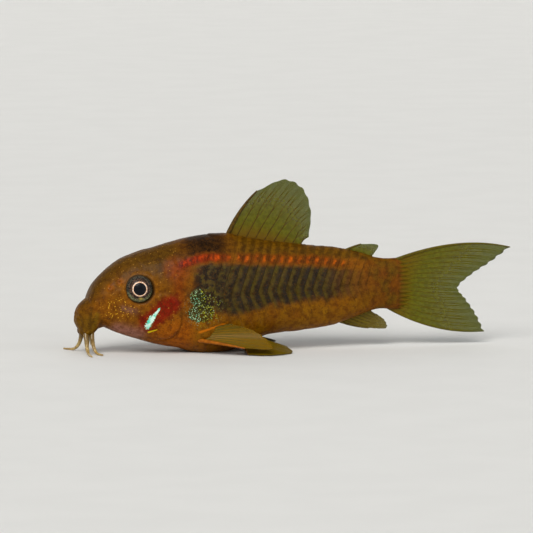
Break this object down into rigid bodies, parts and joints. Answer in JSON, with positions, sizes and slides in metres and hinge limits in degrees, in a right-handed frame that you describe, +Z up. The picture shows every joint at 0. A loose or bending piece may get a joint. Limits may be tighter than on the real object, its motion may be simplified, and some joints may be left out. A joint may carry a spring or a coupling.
{
  "type": "corydoras catfish",
  "caption": "Small armoured catfish as a still life-size model, lying on its belly with spread paired fins, raised dorsal fin and forked tail.",
  "frame": {"origin": "middle of the flat under the belly, on the surface the fish lies on", "axes": "-X towards the snout, +X towards the tail, -Y the fish's left side, +Z up"},
  "size_m": [0.0849, 0.0262, 0.032],
  "materials": {
    "skin": "moist olive-brown skin with fine dark and gold specks",
    "armour": "satin bony plates, dark grey-green with an orange stripe along the back and an amber belly",
    "cheek": "translucent reddish bone with an iridescent turquoise flash",
    "eye": "wet clear eye with a pale gold ring round a black pupil",
    "fin": "thin translucent olive-yellow membrane with brown rays",
    "feeler": "soft pale straw skin"
  },
  "bodies": {
    "root": {"head": "skin", "lips": "skin", "gill_cover_left": "cheek", "gill_cover_right": "cheek", "eye_left": "eye", "eye_right": "eye", "trunk": "armour", "tail_stem": "armour", "dorsal_fin": "fin", "adipose_fin": "fin", "tail_fin": "fin", "anal_fin": "fin", "pectoral_fin_left": "fin", "pectoral_fin_right": "fin", "pelvic_fin_left": "fin", "pelvic_fin_right": "fin", "barbel_long_left": "feeler", "barbel_long_right": "feeler", "barbel_short_left": "feeler", "barbel_short_right": "feeler"}
  },
  "joints": []
}
